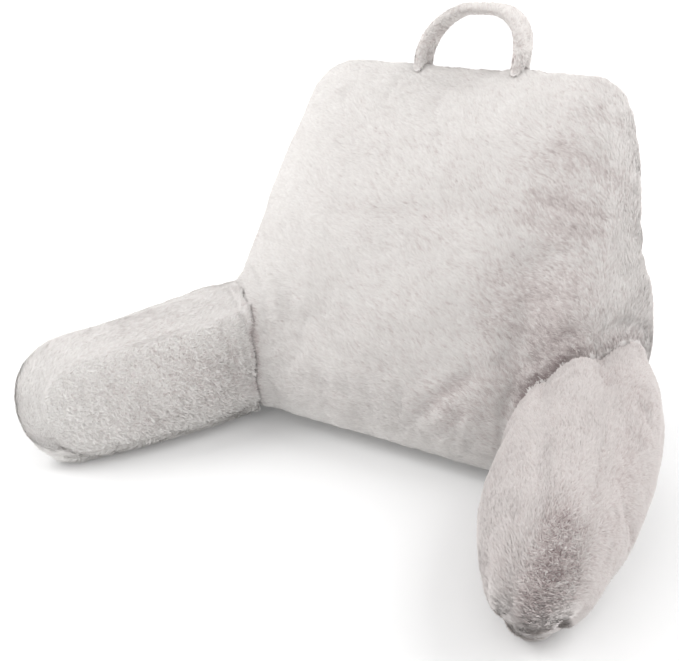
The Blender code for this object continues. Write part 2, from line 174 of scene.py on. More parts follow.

# Brushed places, where the pile looks darker or lighter, and places of painted light and shade, marked
# below:
# points along the middle of each, its reach and the change of tone. The pile stands up and curls where
# it is much darker.
CURL_BELOW = -0.09
CURL_PER_TONE = 9.0
BRUSHED_AND_PAINTED_LIGHT = {
    "backrest": (
        (((0.192, 0.181, 0.426), (0.218, 0.195, 0.418)), 0.013, -0.07),
        (((0.170, 0.150, 0.388), (0.228, 0.163, 0.360)), 0.016, -0.08),
        (((0.155, 0.116, 0.335), (0.220, 0.132, 0.328)), 0.013, -0.07),
        (((0.150, 0.103, 0.312), (0.225, 0.121, 0.303)), 0.015, -0.08),
        (((0.108, 0.071, 0.248), (0.233, 0.091, 0.243)), 0.022, -0.08),
        (((0.130, 0.055, 0.205), (0.235, 0.072, 0.208)), 0.024, -0.10),
        (((0.180, 0.045, 0.145), (0.222, 0.056, 0.200)), 0.022, -0.12),
        (((0.254, 0.090, 0.197), (0.273, 0.154, 0.184)), 0.013, -0.10),
        (((0.090, 0.028, 0.090), (0.140, 0.042, 0.140)), 0.040, -0.08),
        # Painted light on the upper left of the front.
        (((-0.190, 0.120, 0.330), (-0.150, 0.085, 0.260)), 0.070, 0.05),
    ),
    "arm_left": (
        # Painted light on the left arm's nose.
        (((-0.330, -0.225, 0.125), (-0.308, -0.228, 0.055)), 0.040, 0.24),
        (((-0.212, -0.085, 0.120), (-0.192, -0.020, 0.075)), 0.040, -0.14),
        (((-0.246, -0.158, 0.094), (-0.222, -0.101, 0.040)), 0.036, -0.08),
    ),
    "arm_right": (
        (((0.325, -0.195, 0.163), (0.338, -0.210, 0.157)), 0.022, -0.10),
        (((0.351, -0.228, 0.146), (0.353, -0.243, 0.125)), 0.025, -0.21),
        (((0.352, -0.249, 0.112), (0.349, -0.250, 0.090)), 0.026, -0.24),
        (((0.346, -0.247, 0.075), (0.337, -0.236, 0.055)), 0.024, -0.12),
        # Painted light at the bottom of the right arm's nose, where it curves under.
        (((0.294, -0.236, 0.058), (0.304, -0.219, 0.026), (0.330, -0.219, 0.020)), 0.016, 0.24),
        (((0.346, -0.228, 0.040), (0.360, -0.226, 0.062)), 0.014, 0.36),
        (((0.283, 0.054, 0.178), (0.312, 0.038, 0.174), (0.340, -0.019, 0.159),
          (0.355, -0.089, 0.149)), 0.022, -0.09),
        (((0.370, -0.120, 0.120), (0.378, -0.180, 0.110)), 0.045, -0.08),
    ),
    "handle": (
        # Painted shade on the loop's legs.
        (((-0.052, 0.225, 0.470), (-0.044, 0.232, 0.500)), 0.014, -0.13),
        (((0.066, 0.205, 0.465), (0.064, 0.212, 0.485)), 0.016, -0.11),
    ),
}

# Joins where the piles of two cushions mingle and no dark line shows: points along, and reach.
LEFT_JOIN = (((-0.240, 0.060, 0.190), (-0.208, 0.036, 0.168)), 0.020)
RIGHT_JOIN = (((0.262, 0.080, 0.181), (0.281, 0.133, 0.182), (0.277, 0.198, 0.162)), 0.020)
MINGLED = {"backrest": (LEFT_JOIN, RIGHT_JOIN), "arm_left": (LEFT_JOIN,), "arm_right": (RIGHT_JOIN,)}

# The way the pile lies. On the backrest it leans up to the left, less steeply at its left, and
# hangs at the rear. On the arms it lies back towards the backrest and over the top, and it goes
# round them near the floor. On the loop it hangs at the legs.
BACKREST_LEAN = (-1.1, 0.3, 0.58)
BACKREST_LEFT_DROP = 0.35
BACKREST_LEFT_FADE = (-0.02, 0.16)
REAR_LEAN = (0.1, 0.0, -1.0)
REAR_FADE = (0.62, 0.25)
LOOP_TOP_FADE = (0.472, 0.030)
ARM_SPLAY = math.radians(20)
ARM_BACK_LEAN = 0.85
ARM_OUTER_BACK_LEAN = 0.50
ARM_UP_LEAN = 0.35
ARM_OUTER_DROP = 2.6
ARM_LOW_FADE = (0.012, 0.030)

# Where no pile stands: at a touching neighbour, where a cushion presses, and underneath.
TOUCH_FADE = (0.0004, 0.0012)
PRESS_FADE = (0.0009, 0.0016)
UNDER_FADE = (0.45, 0.5)
UNDER_HEIGHT_FADE = (0.0008, 0.0015)

# The tone of the pile, from 0 to 1, and how it changes from place to place.
MIDDLE_TONE = 0.58
PRESS_SHADE = 0.34
PRESS_SHADE_REACH = 0.006
FLOOR_LIGHT = 0.36
FLOOR_LIGHT_FADE = (0.0, 0.055)
STRAP_CURL = 0.25
STRAP_LIGHT = 0.03

# The grain of the pile: bumps to a metre across and along it, the way it runs, and how much
# it changes the tone and pulls the tufts together. A curled pile has no way.
GRAIN_ACROSS = 400.0
GRAIN_ALONG = 90.0
GRAIN_WAY = {"backrest": (-0.845, 0.20, 0.495)}
GRAIN_TONE = 0.65
GRAIN_PULL = 0.8

# The noise that clumps neighbouring tufts, and the one that bends the grain.
CLUMPS_PER_METRE = 150.0
CLUMP_PULL = 0.6
CLUMP_TONE = 0.18
BENDS_PER_METRE = 16.0
GRAIN_BEND = 0.035

# How far tufts turn at random, in radians, where they lie calm and what a full curl adds.
CALM_RUFFLE = (0.14, 0.20, 0.28)
CURL_RUFFLE = (0.32, 0.25, 1.5)

# Pile: tufts to a square metre, one tuft's length and width and how much these vary, and how
# far from its root a tuft's tip is, along and up, for each unit of its length.
TUFTS_PER_AREA = 760000
TUFT_LENGTH = 0.0062
TUFT_WIDTH = 0.0019
STRAP_TUFT_LENGTH = 0.0042
NEAREST_TUFTS = 0.0005
TUFT_TIP = (0.96, 0.30)
LENGTH_RANGE = (0.75, 1.18)
WIDTH_RANGE = (0.7, 1.35)
SHORT_AT_SEAM = 0.72
SEAM_LENGTH_REACH = 0.008
FLOOR_CLEARANCE = 0.0003

# The colours of the pile from its darkest tone, 0, to its lightest, 1: mauve, then warm grey.
PLUSH_TONES = (
    (0.00, (0.360, 0.300, 0.295)),
    (0.38, (0.680, 0.622, 0.608)),
    (0.52, (0.775, 0.745, 0.727)),
    (1.00, (0.900, 0.885, 0.865)),
)
TONE_SPREAD = 0.09
ROOT_SHADE = 0.86

# What a skin's points and faces hold about its pile.
SKIN_FIELDS = ("amount", "long", "tone", "curl", "lean", "region")

# The fixed seeds of what is random in a tuft.
RUFFLE_SEED, LENGTH_SEED, WIDTH_SEED, TONE_SEED = 11, 12, 13, 14

# Each cushion's packed finish, how fully it is stuffed, its tint and the parts of its pile.
PIECES = {
    "backrest": ("backrest_plush", 0.85, (0.965, 0.962, 0.960), ("front", "rear", "sides")),
    "arm_left": ("arm_plush", 0.8, (1.0, 1.0, 1.0), ("pile",)),
    "arm_right": ("arm_plush", 0.8, (0.80, 0.772, 0.77), ("pile",)),
    "handle": ("handle_plush", 0.7, (1.0, 0.99, 0.985), ("pile",)),
}

# The camera: where it is, its direction round the pillow and up from the floor, and its lens.
CAMERA_PLACE = (0.6845, -1.0721, 0.6850)
CAMERA_AZIMUTH = math.radians(33.938)
CAMERA_ELEVATION = math.radians(21.457)
CAMERA_LENS = 62.47

# Lamps: place, size and power of each, and the point that all of them face.
LAMPS = {
    "left": ((-1.2, -0.9, 1.5), 1.2, 17.0),
    "front": ((0.6, -1.9, 1.1), 1.6, 8.0),
    "rear": ((1.5, 0.9, 2.0), 1.6, 32.0),
}
LAMP_TARGET = (0.0, 0.05, 0.2)


# ---------------------------------------------------------------- solids and their seams

def merged_solid(node):
    """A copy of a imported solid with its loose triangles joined, as a bmesh."""
    mesh = bmesh.new()
    mesh.from_mesh(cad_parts[node].data)
    bmesh.ops.remove_doubles(mesh, verts=mesh.verts, dist=1e-6)
    mesh.normal_update()
    return mesh


def seam_points(mesh):
    """Points every 2 mm along the dented edges of a solid, where its panels are sewn."""
    points = []
    for edge in mesh.edges:
        if len(edge.link_faces) != 2 or edge.calc_face_angle_signed() > -SEAM_ANGLE:
            continue
        a, b = edge.verts[0].co, edge.verts[1].co
        steps = max(1, round((b - a).length / SEAM_STEP))
        points += [a.lerp(b, i / steps) for i in range(steps)]
    return points


def tree_of(points):
    """A search tree over points."""
    tree = KDTree(max(len(points), 1))
    for i, point in enumerate(points):
        tree.insert(point, i)
    tree.balance()
    return tree


def as_object(name, mesh):
    """A new object that shows this mesh."""
    thing = bpy.data.objects.new(name, mesh)
    bpy.context.scene.collection.objects.link(thing)
    return thing


def points_of(mesh):
    """A mesh's points as an array."""
    flat = np.empty(len(mesh.vertices) * 3, np.float32)
    mesh.vertices.foreach_get("co", flat)
    return flat.reshape(-1, 3).astype(float)


def normals_of(mesh):
    """A mesh's point normals as an array."""
    flat = np.empty(len(mesh.vertices) * 3, np.float32)
    mesh.vertices.foreach_get("normal", flat)
    return flat.reshape(-1, 3).astype(float)


def set_points(mesh, points):
    """Move a mesh's points to an array's."""
    mesh.vertices.foreach_set("co", points.astype(np.float32).ravel())
    mesh.update()


def evaluated_copy(thing):
    """Turn an object's modifiers into its own plain mesh."""
    graph = bpy.context.evaluated_depsgraph_get()
    made = bpy.data.meshes.new_from_object(thing.evaluated_get(graph))
    thing.modifiers.clear()
    thing.data = made


def smooth(share):
    """Go from 0 to 1 with no corner at either end, for arrays."""
    share = np.clip(share, 0, 1)
    return share * share * (3 - 2 * share)


def faded(values, fade):
    """Each value's place in a fade: 0 before it starts, 1 when it is complete."""
    start, run = fade
    return smooth((values - start) / run)


def bell(distances, width):
    """1 at no distance, falling off smoothly with it."""
    return np.exp(-(distances / width) ** 2)


# ---------------------------------------------------------------- skins

def nearness(points, trees):
    """How far each point is from the nearest of the other cushions' solids."""
    far = np.full(len(points), FAR_OFF)
    for i, point in enumerate(points):
        for tree in trees:
            hit = tree.find_nearest(Vector(point), NEIGHBOUR_REACH)
            if hit[0] is not None:
                far[i] = min(far[i], hit[3])
    return far


def swollen(thing, held):
    """Blow the skin up over its stuffing as cloth, with its held points kept in place."""
    start = points_of(thing.data)
    group = thing.vertex_groups.new(name="held")
    for i in np.nonzero(held > LEAST_HOLD)[0]:
        group.add([int(i)], float(held[i]), "REPLACE")
    cloth = thing.modifiers.new("stuffing", "CLOTH")
    settings = cloth.settings
    settings.vertex_group_mass = "held"
    settings.use_pressure = True
    settings.uniform_pressure_force = STUFFING_PRESSURE
    settings.effector_weights.gravity = 0
    settings.shrink_min = SPARE_CLOTH
    settings.shrink_max = SPARE_CLOTH
    settings.quality = 4
    settings.bending_stiffness = CLOTH_STIFFNESS
    cloth.collision_settings.use_collision = False
    cloth.point_cache.frame_start = 1
    cloth.point_cache.frame_end = STUFFING_FRAMES
    scene = bpy.context.scene
    for step in range(1, STUFFING_FRAMES + 1):
        scene.frame_set(step)
    graph = bpy.context.evaluated_depsgraph_get()
    move = points_of(thing.evaluated_get(graph).data) - start
    thing.modifiers.clear()
    thing.vertex_groups.clear()
    scene.frame_set(1)
    reach = np.linalg.norm(move, axis=1)
    move *= np.minimum(1, SWELL_CAP / np.maximum(reach, 1e-9))[:, None]
    set_points(thing.data, start + move * (1 - held)[:, None])


def segment_distance(points, path):
    """Each point's distance to a path, as an array."""
    nearest = np.full(len(points), FAR_OFF)
    for a, b in zip(path, path[1:]):
        a, b = np.array(a), np.array(b)
        along = b - a
        share = np.clip((points - a) @ along / (along @ along), 0, 1)
        nearest = np.minimum(nearest, np.linalg.norm(points - a - share[:, None] * along, axis=1))
    return nearest


def waves(points, layers):
    """Layers of smooth noise at each point, added up."""
    total = 0
    for strength, per_metre, shift in layers:
        offset = Vector((shift, shift * 0.7, shift * 1.3))
        noises = np.array([noise.noise(Vector(point) * per_metre + offset) for point in points])
        total = total + strength * noises
    return total


def seam_offsets(points, seams):
    """The seam point that is nearest to each point, and how far away it is."""
    tree = tree_of(seams)
    found = [tree.find(Vector(point)) for point in points]
    return np.array([hit[0] for hit in found]), np.array([hit[2] for hit in found])


def divided(thing, levels):
    """Divide an object's faces smoothly, as its own plain mesh."""
    finer = thing.modifiers.new("finer", "SUBSURF")
    finer.levels = levels
    finer.render_levels = levels
    evaluated_copy(thing)


def shaped_strap(points, seats):
    """Square the loop's right shoulder, straighten its left leg and seat its feet."""
    made = points.copy()
    x = (points[:, 0] - LOOP_MIDDLE_X) / LOOP_REACH
    z = np.maximum(points[:, 2] - LOOP_FOOT_Z, 0) / LOOP_REACH
    radius = np.maximum(np.hypot(x, z), 1e-6)
    power = LOOP_LEFT_POWER + (LOOP_RIGHT_POWER - LOOP_LEFT_POWER) * faded(x, LOOP_HALVES_FADE)
    grow = ((np.abs(x) / radius) ** power + (z / radius) ** power) ** (-1 / power)
    made[:, 0] = LOOP_MIDDLE_X + x * grow * LOOP_REACH
    made[:, 2] += z * (grow - 1) * LOOP_REACH
    rise = made[:, 2] - LOOP_FOOT_Z
    middle = LOOP_FOOT_Y + LOOP_LEAN * rise
    narrowing = LOOP_FOOT_NARROWING * (1 - faded(rise, LOOP_FOOT_FADE))
    made[:, 1] = middle + (made[:, 1] - middle) * (1 - narrowing)
    for point in made:
        for seat in seats:
            hit = seat.ray_cast(Vector((point[0], point[1], 1.0)), Vector((0, 0, -1)))[0]
            if hit is not None and hit.z > LOOP_FOOT_Z - LOOP_SEAT_DEPTH:
                above = max(point[2] - hit.z, 0)
                point[2] = hit.z + above - LOOP_SEATING * (1 - min(above / LOOP_SEATING_HEIGHT, 1))
    return made


def make_skin(node, neighbours, strap=False):
    """The stuffed skin of one cushion or of the strap, and the points along its seams."""
    solid = merged_solid(node)
    seams = seam_points(solid)
    data = bpy.data.meshes.new(node + " skin")
    solid.to_mesh(data)
    solid.free()
    thing = as_object(node + "_skin", data)
    if strap:
        divided(thing, STRAP_DIVISIONS)
        set_points(thing.data, shaped_strap(points_of(thing.data), neighbours))
    else:
        remesh = thing.modifiers.new("even cloth", "REMESH")
        remesh.mode = "VOXEL"
        remesh.voxel_size = SKIN_VOXEL
        evens = thing.modifiers.new("even out", "SMOOTH")
        evens.factor = 0.5
        evens.iterations = EVENING[node]
        evaluated_copy(thing)
    height = STRAP_PILE_HEIGHT if strap else PILE_HEIGHT
    points, normals = points_of(thing.data), normals_of(thing.data)
    pressed = 1 - smooth(nearness(points, neighbours) / CONTACT_REACH)
    grounded = 1 - faded(points[:, 2], FLOOR_CONTACT_FADE)
    grounded *= faded(-normals[:, 2], FACING_FLOOR_FADE)
    close = np.maximum(pressed, grounded)
    inset = CONTACT_GAP + (height - CONTACT_GAP) * (1 - close)
    swells = not (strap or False)
    spare = START_SHRINK * (1 - close) if swells else 0
    set_points(thing.data, points - normals * (inset + spare)[:, None])

    if swells:
        off = seam_offsets(points, seams)[1]
        swollen(thing, np.maximum(close, 1 - faded(off, SEAM_HOLD_FADE)))
    if not strap:
        divided(thing, CUSHION_DIVISIONS)
        sew(thing, node, seams, neighbours)
    thing.data.shade_smooth()
    return thing, seams


def sew(thing, node, seams, neighbours):
    """Draw the seams in, gather the cloth along them, and crease it."""
    points, normals = points_of(thing.data), normals_of(thing.data)
    feet, off = seam_offsets(points, seams)
    free = faded(nearness(points, neighbours), NEIGHBOUR_FREEDOM_FADE)
    free *= faded(points[:, 2], FLOOR_FREEDOM_FADE) * (1 - FLOOR_FREEDOM) + FLOOR_FREEDOM
    draw = SEAM_DEPTH[node] * bell(off, SEAM_WIDTH[node])
    draw -= SEAM_FILL * bell(off, SEAM_FILL_WIDTH) * (1 - faded(points[:, 2], SEAM_FILL_FADE))
    patches = 0.4 + np.abs(waves(feet, GATHER_PATCHES)) * 2
    gather = waves(feet, GATHERS) * GATHER_HEIGHT * np.exp(-off / GATHER_REACH) * patches
    rise = gather + waves(points, LUMPS) - draw
    for path, depth, width in CREASES.get(node, ()):
        away = segment_distance(points, path) / width
        rise -= depth * ((1 + CREASE_BANK) * bell(away, 1) - CREASE_BANK * bell(away, CREASE_BANK_REACH))
    moved = points + normals * (rise * free)[:, None]
    moved[:, 2] = np.maximum(moved[:, 2], FLOOR_CLEARANCE)
    set_points(thing.data, moved)


# ---------------------------------------------------------------- the combed field

def rotated(vectors, axes, angles):
    """Turn each vector about its own unit axis."""
    c, s = np.cos(angles)[:, None], np.sin(angles)[:, None]
    dot = (vectors * axes).sum(1)[:, None]
    return vectors * c + np.cross(axes, vectors) * s + axes * dot * (1 - c)


def comb_backrest(points, normals):
    """The way the pile lies on the backrest."""
    left = faded(-points[:, 0], BACKREST_LEFT_FADE)
    lean = np.tile(BACKREST_LEAN, (len(points), 1))
    lean[:, 2] -= BACKREST_LEFT_DROP * left
    rear = faded(normals[:, 1], REAR_FADE)[:, None]
    return lean * (1 - rear) + np.array(REAR_LEAN) * rear


def comb_loop(points):
    """The way the pile lies on the carrying loop."""
    high = faded(points[:, 2], LOOP_TOP_FADE)
    side = np.sign(points[:, 0] - LOOP_MIDDLE_X)
    return np.stack([-0.3 * side * (1 - high), 0.5 * high, 1.8 * high - 1.0], 1)


def comb_arm(points, normals, side):
    """The way the pile lies on an arm, which is at one side: -1 left, 1 right."""
    across = np.array([math.cos(ARM_SPLAY), side * math.sin(ARM_SPLAY), 0.0])
    ahead = np.array([side * math.sin(ARM_SPLAY), -math.cos(ARM_SPLAY), 0.0])
    sideways = normals @ across
    over = (1 - np.abs(sideways))[:, None]
    outer = smooth(sideways * side)[:, None]
    along = -ahead * (ARM_BACK_LEAN - (ARM_BACK_LEAN - ARM_OUTER_BACK_LEAN) * outer)
    along = along + np.array([0.0, 0.0, ARM_UP_LEAN]) * (1 - ARM_OUTER_DROP * outer)
    lean = np.cross(normals, across) * over + along * (1 - over)
    low = (1 - faded(points[:, 2], ARM_LOW_FADE))[:, None]
    return lean * (1 - low) + np.cross((0.0, 0.0, side), normals) * low


def comb_direction(node, points, normals):
    """The way the pile lies on a piece before it is ruffled, along its surface."""
    if node == "backrest":
        lean = comb_backrest(points, normals)
    elif node == "handle":
        lean = comb_loop(points)
    else:
        lean = comb_arm(points, normals, 1.0 if node == "arm_right" else -1.0)
    lean = lean - normals * (lean * normals).sum(1)[:, None]
    lean += np.cross(normals, np.array([0.0, 1.0, 0.01])) * 0.05
    length = np.linalg.norm(lean, axis=1)[:, None]
    return lean / np.maximum(length, 1e-6)


def backrest_painted_light(points, normals):
    """Painted light and shade: lighter at the left, the top, the bottom and the right side, darker at
    the right.
    """
    x, z = points[:, 0], points[:, 2]
    tone = 0.08 * faded(-x, (-0.02, 0.24)) + 0.06 * faded(z, (0.36, 0.08))
    tone -= 0.11 * faded(x, (0.08, 0.12))
    tone += 0.08 * (1 - faded(z, (0.03, 0.10)))
    tone += 0.08 * smooth((normals[:, 0] - 0.25) * 3)
    return tone


def cushion_painted_light(node, points, clear):
    """Painted shade where another cushion presses, painted light near the floor."""
    press = PRESS_SHADE * bell(clear, PRESS_SHADE_REACH)
    for path, reach in MINGLED.get(node, ()):
        press *= 1 - bell(segment_distance(points, path), reach)
    return FLOOR_LIGHT * (1 - faded(points[:, 2], FLOOR_LIGHT_FADE)) - press


def write_field(mesh, name, values):
    """Keep numbers or directions on a mesh's points."""
    vectors = values.ndim == 2
    field = mesh.attributes.new(name, "FLOAT_VECTOR" if vectors else "FLOAT", "POINT")
    key = "vector" if vectors else "value"
    field.data.foreach_set(key, np.ascontiguousarray(values, np.float32).ravel())


def mark_pile(thing, node, seams, neighbours, pressing, strap=False):
    """Write on a skin how its pile stands: how much, how long, which way and how light."""
    mesh = thing.data
    points, normals = points_of(mesh), normals_of(mesh)
    lean = comb_direction(node, points, normals)
    lean = rotated(lean, normals, waves(points, COMB_TURNS))
    amount = faded(nearness(points, neighbours), TOUCH_FADE)
    amount *= 1 - faded(-normals[:, 2], UNDER_FADE) * (1 - faded(points[:, 2], UNDER_HEIGHT_FADE))
    off = np.full(len(points), FAR_OFF)
    tone = MIDDLE_TONE + waves(points, TONE_CHANGES)
    curl = np.zeros(len(points))
    if not strap:
        clear = nearness(points, pressing)
        amount *= faded(clear, PRESS_FADE)
        tone += cushion_painted_light(node, points, clear)
        feet, off = seam_offsets(points, seams)
        away = (points - feet) / np.maximum(off, 1e-4)[:, None]
        away -= normals * (away * normals).sum(1)[:, None]
        off = np.where(points[:, 2] < LOW_SEAM_HEIGHT, FAR_OFF, off)
        if node == "arm_left":
            off = np.where(normals[:, 0] < -0.25, FAR_OFF, off)
        lean += away * (SEAM_PARTING[node] * bell(off, SEAM_PARTING_REACH))[:, None]
        # Painted shade along the seam, and a painted highlight on the ridge beside it.
        tone -= SEAM_SHADE[node] * bell(off, SEAM_SHADE_WIDTH)
        tone += 0.5 * SEAM_SHADE[node] * bell(off - SEAM_HIGHLIGHT_OFFSET, SEAM_HIGHLIGHT_WIDTH)
    long = SHORT_AT_SEAM + (1 - SHORT_AT_SEAM) * smooth(off / SEAM_LENGTH_REACH)
    long *= 0.9 + waves(points, LENGTH_CHANGES)
    # Painted shade in each crease, and painted light on each swelling.
    for path, depth, width in CREASES.get(node, ()):
        away = segment_distance(points, path) / width * CREASE_SHADE_NARROWING
        tone -= depth * CREASE_SHADE * bell(away, 1)
    if node == "backrest":
        tone += backrest_painted_light(points, normals)
    # Painted light on the left arm: its inner panel, away from the seams, and its outward side at the
    # nose are lighter; the inner panel's pile also curls.
    if node == "arm_left":
        inner = smooth(normals[:, 0] * 2 - 0.6) * faded(off, (0.004, 0.012))
        tone += 0.15 * inner + 0.20 * smooth(-normals[:, 0] * 2 - 0.7)
        curl += 0.8 * inner
    for path, radius, change in BRUSHED_AND_PAINTED_LIGHT.get(node, ()):
        place_share = bell(segment_distance(points, path), radius)
        tone += change * place_share
        curl += CURL_PER_TONE * max(CURL_BELOW - change, 0) * place_share
    curl = np.clip(curl, 0, 1)
    if strap:
        curl += STRAP_CURL
        tone += STRAP_LIGHT
    for name, values in (("amount", amount), ("long", long), ("tone", tone), ("curl", curl),
                         ("lean", lean)):
        write_field(mesh, name, values)


# ---------------------------------------------------------------- tufts

def tuft_blade():
    """One tuft, 1 long and 1 wide: it lies low along +Y and ends in a point."""
    mesh = bpy.data.meshes.new("tuft")
    mesh.from_pydata([(-0.5, 0.0, 0.0), (0.5, 0.0, 0.0), (0.0, *TUFT_TIP)], [], [(0, 1, 2)])
    along, side = (0.0, 0.0, 1.0), (-1.0, 1.0, 0.0)
    for name, values in (("along", along), ("side", side)):
        mesh.attributes.new(name, "FLOAT", "POINT").data.foreach_set("value", values)
    return bpy.data.objects.new("tuft", mesh)


class Tree:
    """A node tree under construction, with named inputs and short ways to wire it."""

    def __init__(self, name):
        self.group = bpy.data.node_groups.new(name, "GeometryNodeTree")
        self.keys = {}

    def ask(self, name, kind):
        """Give the tree an input, and keep its socket's identifier."""
        socket = self.group.interface.new_socket(name, in_out="INPUT", socket_type=kind)
        self.keys[name] = socket.identifier

    def add(self, kind, inputs=None, **settings):
        """A new node with its settings made and its inputs fed."""
        node = self.group.nodes.new(kind)
        for key, value in settings.items():
            setattr(node, key, value)
        for name, value in (inputs or {}).items():
            self.feed(node, name, value)
        return node

    def feed(self, node, name, value):
        """Feed an input with a plain value, a node, or a node and the name of its output."""
        usable = [s for s in node.inputs if not s.is_unavailable]
        socket = usable[name] if isinstance(name, int) else next(s for s in usable if s.name == name)
        if isinstance(value, bpy.types.Node):
            value = (value, None)
        if isinstance(value, tuple) and isinstance(value[0], bpy.types.Node):
            source = next(s for s in value[0].outputs
                          if not s.is_unavailable and (value[1] is None or s.name == value[1]))
            self.group.links.new(source, socket)
        else:
            socket.default_value = value

    def math(self, operation, a, b=0.0, c=None):
        """Arithmetic on two or three numbers."""
        inputs = {0: a, 1: b}
        if c is not None:
            inputs[2] = c
        return self.add("ShaderNodeMath", inputs, operation=operation)

    def vector(self, operation, a, b=None, scale=None):
        """Arithmetic on vectors."""
        inputs = {0: a}
        if b is not None:
            inputs[1] = b
        if scale is not None:
            inputs["Scale"] = scale
        return self.add("ShaderNodeVectorMath", inputs, operation=operation)

    def centred(self, noises):
        """A noise's colour as a vector whose middle is at 0."""
        return self.vector("SUBTRACT", (noises, "Color"), (0.5, 0.5, 0.5))

    def named(self, name, kind="FLOAT"):
        """What a skin's points or faces hold under a name."""
        return self.add("GeometryNodeInputNamedAttribute", {"Name": name}, data_type=kind)

    def random(self, low, high, seed, kind="FLOAT"):
        """A random value for each tuft, with a fixed seed."""
        return self.add("FunctionNodeRandomValue", {"Min": low, "Max": high, "Seed": seed},
                        data_type=kind)


def grain_noise(tree, asked):
    """A fine noise, drawn out along the grain and bent a little, for the streaks and curls."""
    bend = tree.add("ShaderNodeTexNoise", {"Scale": BENDS_PER_METRE, "Detail": 1.0})
    bend = tree.vector("SCALE", tree.centred(bend), scale=GRAIN_BEND)
    spot = tree.vector("ADD", tree.add("GeometryNodeInputPosition"), bend)
    far = tree.vector("DOT_PRODUCT", spot, (asked, "Grain way"))
    drawing = tree.math("SUBTRACT", GRAIN_ACROSS, (asked, "Grain along"))
    far = tree.math("MULTIPLY", (far, "Value"), drawing)
    drawn = tree.vector("SUBTRACT", tree.vector("SCALE", spot, scale=GRAIN_ACROSS),
                        tree.vector("SCALE", (asked, "Grain way"), scale=far))
    return tree.add("ShaderNodeTexNoise", {"Vector": drawn, "Scale": 1.0, "Detail": 1.0})


def tuft_turn(tree, normal, clump, grain):
    """How a tuft is turned: along the combed field, pulled to its clump, ruffled and curled."""
    pull = tree.vector("SCALE", tree.centred(clump), scale=CLUMP_PULL)
    lean = tree.vector("ADD", tree.named("lean", "FLOAT_VECTOR"), pull)
    tug = tree.math("MULTIPLY_ADD", tree.named("curl"), GRAIN_PULL * 1.2, GRAIN_PULL)
    lean = tree.vector("ADD", lean, tree.vector("SCALE", tree.centred(grain), scale=tug))
    upright = tree.add("FunctionNodeAxesToRotation", {
        "Primary Axis": normal, "Secondary Axis": lean}, primary_axis="Z", secondary_axis="Y")
    curled = tree.vector("SCALE", CURL_RUFFLE, scale=tree.named("curl"))
    reach = tree.vector("ADD", CALM_RUFFLE, curled)
    ruffle = tree.random((-1, -1, -1), (1, 1, 1), RUFFLE_SEED, "FLOAT_VECTOR")
    ruffle = tree.add("FunctionNodeEulerToRotation", {"Euler": tree.vector("MULTIPLY", ruffle, reach)})
    return tree.add("FunctionNodeRotateRotation", {"Rotation": upright, "Rotate By": ruffle},
                    rotation_space="LOCAL")


def tuft_size(tree, asked):
    """How wide and long a tuft is."""
    length = tree.math("MULTIPLY", (asked, "Tuft length"), tree.named("long"))
    length = tree.math("MULTIPLY", length, tree.random(*LENGTH_RANGE, LENGTH_SEED))
    width = tree.math("MULTIPLY", (asked, "Tuft width"), tree.random(*WIDTH_RANGE, WIDTH_SEED))
    return tree.add("ShaderNodeCombineXYZ", {"X": width, "Y": length, "Z": length})


def tuft_shade(tree, clump, grain):
    """The tone of a tuft, from the field, its streak, its clump and chance."""
    shade = tree.math("ADD", tree.named("tone"), tree.random(-TONE_SPREAD, TONE_SPREAD, TONE_SEED))
    streak = tree.math("MULTIPLY_ADD", tree.named("curl"), GRAIN_TONE * 1.4, GRAIN_TONE)
    streak = tree.math("MULTIPLY", tree.math("SUBTRACT", (grain, "Fac"), 0.5), streak)
    shade = tree.math("ADD", shade, streak)
    mottle = tree.math("MULTIPLY", tree.math("SUBTRACT", (clump, "Fac"), 0.5), CLUMP_TONE)
    return tree.math("ADD", shade, mottle)


def above_floor(tree, tufts):
    """Lift what would go through the floor."""
    parts = tree.add("ShaderNodeSeparateXYZ", {0: tree.add("GeometryNodeInputPosition")})
    above = tree.add("ShaderNodeCombineXYZ", {
        "X": (parts, "X"), "Y": (parts, "Y"),
        "Z": tree.math("MAXIMUM", (parts, "Z"), FLOOR_CLEARANCE)})
    return tree.add("GeometryNodeSetPosition", {"Geometry": tufts, "Position": above})


def mapped(tree, tufts):
    """Keep a tuft's tone across its map and its height along it."""
    across = tree.math("MULTIPLY_ADD", tree.named("side"), 0.012, tree.named("shade"))
    across = tree.add("ShaderNodeClamp", {"Value": across, "Min": 0.01, "Max": 0.99})
    place = tree.add("ShaderNodeCombineXYZ", {"X": across, "Y": tree.named("along")})
    return tree.add("GeometryNodeStoreNamedAttribute", {
        "Geometry": tufts, "Name": "OFBake", "Value": place}, data_type="FLOAT2", domain="CORNER")


